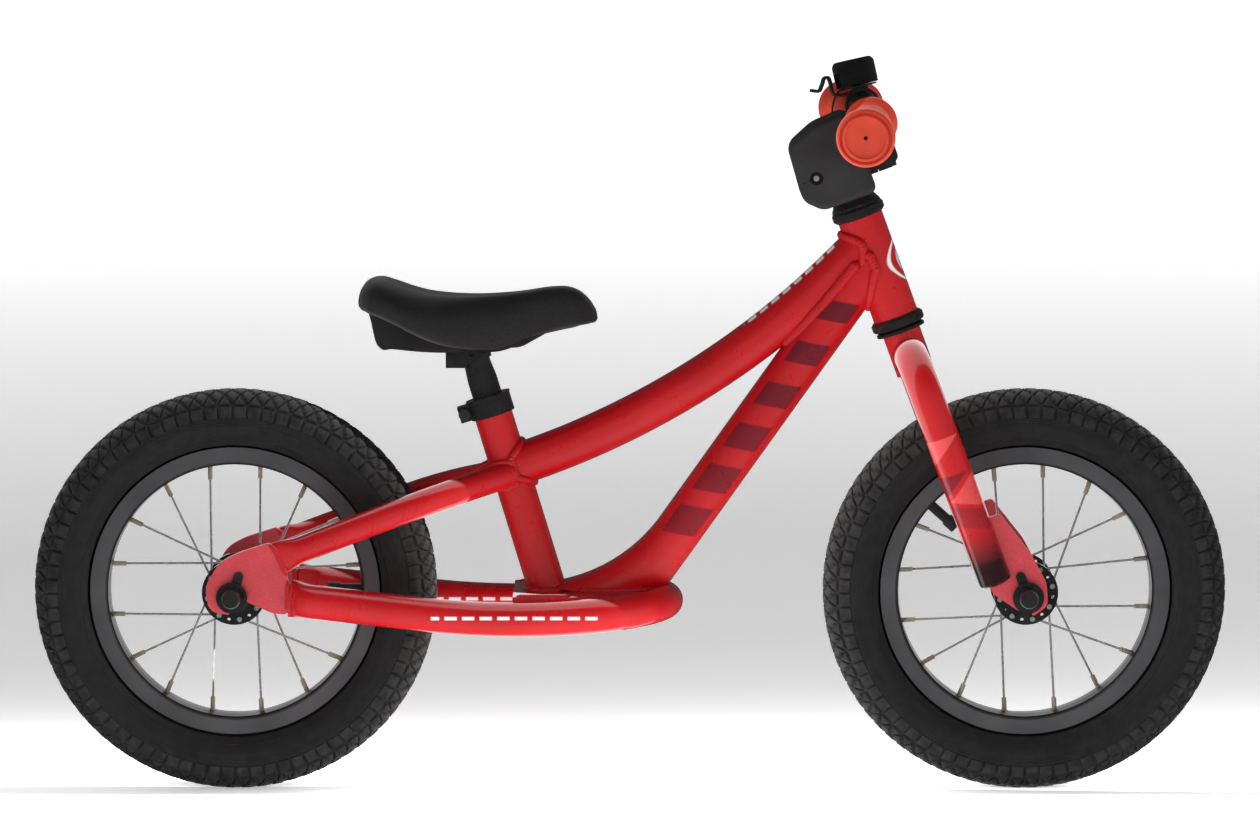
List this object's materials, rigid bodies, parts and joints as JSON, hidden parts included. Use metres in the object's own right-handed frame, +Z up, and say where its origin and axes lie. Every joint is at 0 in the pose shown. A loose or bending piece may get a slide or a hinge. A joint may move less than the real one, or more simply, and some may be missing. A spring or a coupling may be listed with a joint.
{
  "type": "balance bike",
  "caption": "Child's balance bike with spoked pneumatic wheels, welded frame with a footrest, turning fork and bar, and a seat that slides for height.",
  "frame": {"origin": "on the ground under the middle of the bike, midway between the axles", "axes": "+X forward to the front wheel, +Y to the rider's left, +Z up"},
  "size_m": [0.89, 0.4042, 0.5446],
  "materials": {
    "frame_paint": "glossy red paint over welded alloy tube",
    "dropout_paint": "satin red paint on flat plate",
    "black_alloy": "black anodised alloy, satin",
    "black_steel": "black zinc, satin",
    "hub_black": "black painted alloy hub",
    "steel": "plated steel",
    "spoke_steel": "drawn stainless wire",
    "nipple_brass": "nickel plated brass, slightly warm",
    "rim_alloy": "dark anodised alloy, satin",
    "tube_rubber": "butyl rubber",
    "tyre_rubber": "matt black tread rubber",
    "grip_rubber": "orange red moulded rubber",
    "pad_foam": "matt dark grey soft moulding",
    "saddle_skin": "matt charcoal skin over foam",
    "saddle_shell": "black moulded plastic",
    "bell_black": "gloss black dome"
  },
  "bodies": {
    "frame": {"head_tube": "frame_paint", "top_tube": "frame_paint", "down_tube": "frame_paint", "seat_tube": "frame_paint", "footrest_tube": "frame_paint", "footrest_plate": "frame_paint", "seat_stays": "frame_paint", "rear_dropouts": "dropout_paint", "headset_cups": "black_alloy", "headset_bearings": "steel", "seat_clamp_ring": "black_alloy", "seat_clamp_bolt": "steel", "rear_axle": "steel", "rear_axle_spacers": "steel", "rear_axle_nuts": "black_steel", "rear_safety_washers": "black_steel"},
    "fork": {"fork_steerer": "frame_paint", "fork_legs": "frame_paint", "fork_dropouts": "dropout_paint", "crown_race": "black_alloy", "headset_dust_cover": "black_alloy", "stem": "black_alloy", "stem_faceplate": "black_alloy", "stem_bolts": "black_steel", "top_cap": "black_alloy", "star_nut": "steel", "handlebar": "black_alloy", "grip_right": "grip_rubber", "grip_left": "grip_rubber", "stem_pad": "pad_foam", "pad_studs": "steel", "bell_base": "black_alloy", "bell_dome": "bell_black", "front_axle": "steel", "front_axle_spacers": "steel", "front_axle_nuts": "black_steel", "front_safety_washers": "black_steel"},
    "bell_lever": {"bell_lever": "black_steel"},
    "front_wheel": {"front_hub": "hub_black", "front_hub_bearings": "steel", "front_spokes": "spoke_steel", "front_nipples": "nipple_brass", "front_rim": "rim_alloy", "front_rim_tape": "tube_rubber", "front_inner_tube": "tube_rubber", "front_tyre": "tyre_rubber"},
    "rear_wheel": {"rear_hub": "hub_black", "rear_hub_bearings": "steel", "rear_spokes": "spoke_steel", "rear_nipples": "nipple_brass", "rear_rim": "rim_alloy", "rear_rim_tape": "tube_rubber", "rear_inner_tube": "tube_rubber", "rear_tyre": "tyre_rubber"},
    "seat": {"seatpost": "black_alloy", "saddle_bracket": "black_steel", "saddle_bolt": "steel", "saddle_rails": "black_steel", "saddle_base": "saddle_shell", "saddle_cover": "saddle_skin"}
  },
  "joints": [
    {"name": "steering", "type": "hinge", "parent": "frame", "child": "fork", "pos_m": [0.18463, 0, 0.39184], "axis": [-0.342, 0, 0.9397], "range_deg": [-90, 90]},
    {"name": "front_wheel_spin", "type": "hinge", "parent": "fork", "child": "front_wheel", "pos_m": [0.295, 0, 0.15], "axis": [0, 1, 0], "continuous": true},
    {"name": "rear_wheel_spin", "type": "hinge", "parent": "frame", "child": "rear_wheel", "pos_m": [-0.295, 0, 0.15], "axis": [0, 1, 0], "continuous": true},
    {"name": "seat_height", "type": "slide", "parent": "frame", "child": "seat", "axis": [-0.2924, 0, 0.9563], "range_m": [-0.012, 0.045]},
    {"name": "bell_lever_pull", "type": "hinge", "parent": "fork", "child": "bell_lever", "pos_m": [0.16464, 0.09254, 0.51593], "axis": [0.0842, -0.9943, 0.0658], "range_deg": [0, 18], "stiffness_Nm_per_rad": 0.15}
  ]
}
